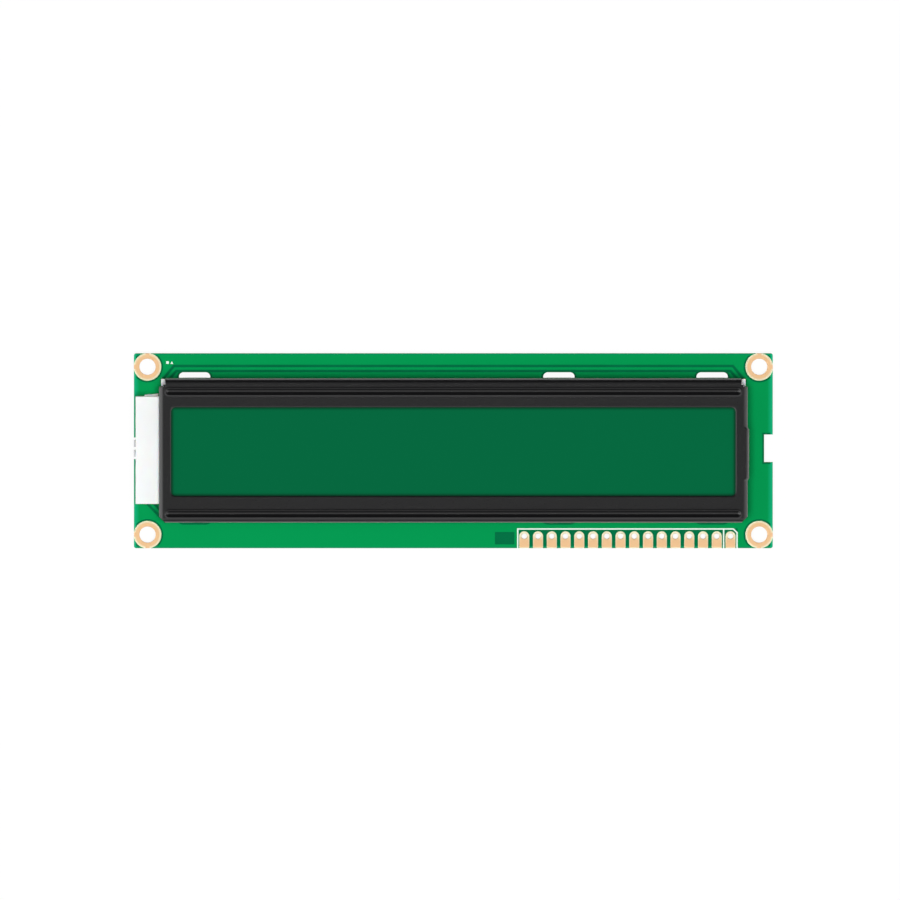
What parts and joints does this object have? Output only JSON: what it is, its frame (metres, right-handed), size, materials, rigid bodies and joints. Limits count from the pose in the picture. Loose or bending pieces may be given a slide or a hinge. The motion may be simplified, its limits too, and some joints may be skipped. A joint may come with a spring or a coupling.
{
  "type": "character lcd module",
  "caption": "Long character LCD module: green circuit board with plated corner holes and a header edge, black folded bezel, dark green window and side backlight.",
  "frame": {"origin": "centre of the four mounting holes, on the circuit board's rear face", "axes": "+X along the display to the reader's right, +Y up the display, +Z out of the display towards the reader"},
  "size_m": [0.118, 0.036, 0.0118],
  "materials": {
    "laminate": "satin",
    "masked_copper": "satin",
    "white_ink": "matte",
    "plated_copper": "satin",
    "black_steel": "satin",
    "polarizer": "satin",
    "display_glass": "gloss",
    "seal_resin": "matte",
    "contact_rubber": "matte",
    "white_plastic": "satin",
    "white_film": "satin",
    "clear_acrylic": "gloss",
    "strip_laminate": "matte",
    "led_package": "gloss",
    "tinned_metal": "satin",
    "solder": "satin",
    "black_epoxy": "gloss",
    "resistor_body": "satin",
    "capacitor_body": "satin"
  },
  "bodies": {
    "root": {"printed_circuit_board": "laminate", "front_copper": "masked_copper", "rear_copper": "masked_copper", "header_print": "white_ink", "mounting_pad_1": "plated_copper", "mounting_pad_2": "plated_copper", "mounting_pad_3": "plated_copper", "mounting_pad_4": "plated_copper", "header_pad_01": "plated_copper", "header_pad_02": "plated_copper", "header_pad_03": "plated_copper", "header_pad_04": "plated_copper", "header_pad_05": "plated_copper", "header_pad_06": "plated_copper", "header_pad_07": "plated_copper", "header_pad_08": "plated_copper", "header_pad_09": "plated_copper", "header_pad_10": "plated_copper", "header_pad_11": "plated_copper", "header_pad_12": "plated_copper", "header_pad_13": "plated_copper", "header_pad_14": "plated_copper", "header_pad_15": "plated_copper", "header_pad_16": "plated_copper", "bezel": "black_steel", "front_polarizer": "polarizer", "front_glass": "display_glass", "cell_seal": "seal_resin", "rear_glass": "display_glass", "rear_polarizer": "polarizer", "upper_elastomer_strip": "contact_rubber", "lower_elastomer_strip": "contact_rubber", "backlight_housing": "white_plastic", "diffuser_film": "white_film", "light_guide": "clear_acrylic", "reflector_film": "white_film", "led_strip_board": "strip_laminate", "backlight_led_1": "led_package", "backlight_led_2": "led_package", "backlight_led_3": "led_package", "anode_lead": "tinned_metal", "cathode_lead": "tinned_metal", "anode_solder": "solder", "cathode_solder": "solder", "controller_glob": "black_epoxy", "driver_glob_1": "black_epoxy", "driver_glob_2": "black_epoxy", "bias_resistor_1": "resistor_body", "bias_resistor_2": "resistor_body", "bias_resistor_3": "resistor_body", "bias_resistor_4": "resistor_body", "bias_resistor_5": "resistor_body", "capacitor_1": "capacitor_body", "capacitor_2": "capacitor_body", "capacitor_3": "capacitor_body", "oscillator_resistor": "resistor_body", "backlight_resistor": "resistor_body"}
  },
  "joints": []
}
